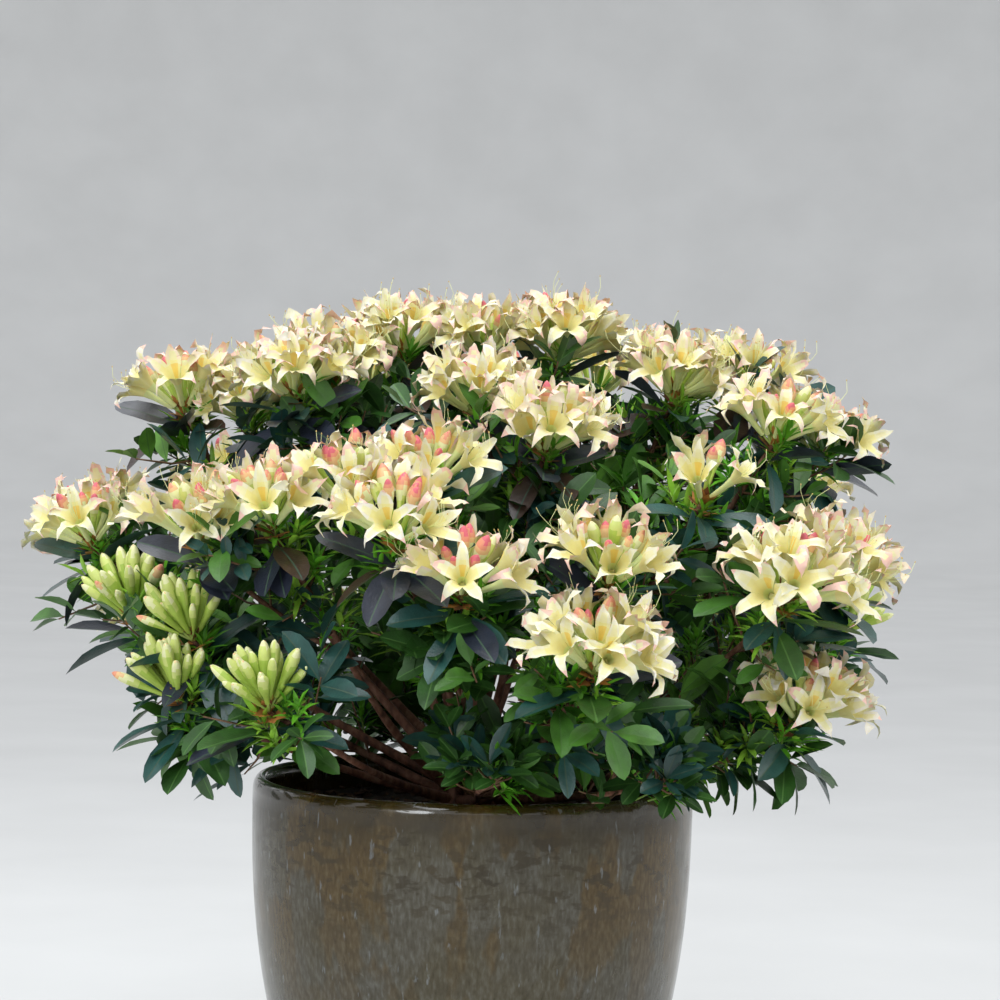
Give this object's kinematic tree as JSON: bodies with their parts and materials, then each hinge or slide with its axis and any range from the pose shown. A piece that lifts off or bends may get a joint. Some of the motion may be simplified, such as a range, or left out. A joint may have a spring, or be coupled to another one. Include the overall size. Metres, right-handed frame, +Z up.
{
  "type": "potted azalea shrub",
  "caption": "Rounded azalea shrub in pale yellow bloom, with many slender boughs, growing in a round glazed planter that tapers to its foot.",
  "frame": {"origin": "middle of the planter's flat underside", "axes": "+Z up along the planter's axis; the picture was taken from -Y, so +X is to its right"},
  "size_m": [0.7087, 0.6687, 0.6881],
  "materials": {
    "glaze": "gloss",
    "compost": "rough",
    "bark": "matte",
    "foliage": "satin",
    "blossom": "soft",
    "bud": "soft",
    "young_leaf": "satin"
  },
  "bodies": {
    "root": {"planter": "glaze", "compost": "compost", "root_crown": "bark", "bough_left_end": "bark", "mass_left_end": "blossom", "bough_left_low": "bark", "mass_left_low": "foliage", "bough_left_high": "bark", "mass_left_high": "blossom", "bough_left_inner": "bark", "mass_left_inner": "blossom", "bough_front_left_low": "bark", "mass_front_left_low": "foliage", "bough_front_upper_left": "bark", "mass_front_upper_left": "blossom", "bough_front_mid_left": "bark", "mass_front_mid_left": "blossom", "bough_front_mid_right": "bark", "mass_front_mid_right": "blossom", "bough_front_low": "bark", "mass_front_low": "blossom", "bough_front_top": "bark", "mass_front_top": "blossom", "bough_right_inner": "bark", "mass_right_inner": "foliage", "bough_right_high": "bark", "mass_right_high": "blossom", "bough_right_end": "bark", "mass_right_end": "blossom", "bough_right_low": "bark", "mass_right_low": "blossom", "bough_top_left": "bark", "mass_top_left": "blossom", "bough_top_middle": "bark", "mass_top_middle": "blossom", "bough_top_right": "bark", "mass_top_right": "blossom", "bough_skirt_middle": "bark", "mass_skirt_middle": "foliage", "bough_skirt_right": "bark", "mass_skirt_right": "foliage", "bough_back_top_right": "bark", "mass_back_top_right": "blossom", "bough_back_top_left": "bark", "mass_back_top_left": "blossom", "bough_back_right_high": "bark", "mass_back_right_high": "blossom", "bough_back_left_high": "bark", "mass_back_left_high": "blossom", "bough_back_middle": "bark", "mass_back_middle": "blossom", "bough_right_back_low": "bark", "mass_right_back_low": "foliage", "bough_back_right_low": "bark", "mass_back_right_low": "blossom", "bough_back_left_low": "bark", "mass_back_left_low": "foliage", "bough_left_back_low": "bark", "mass_left_back_low": "blossom"}
  },
  "joints": []
}
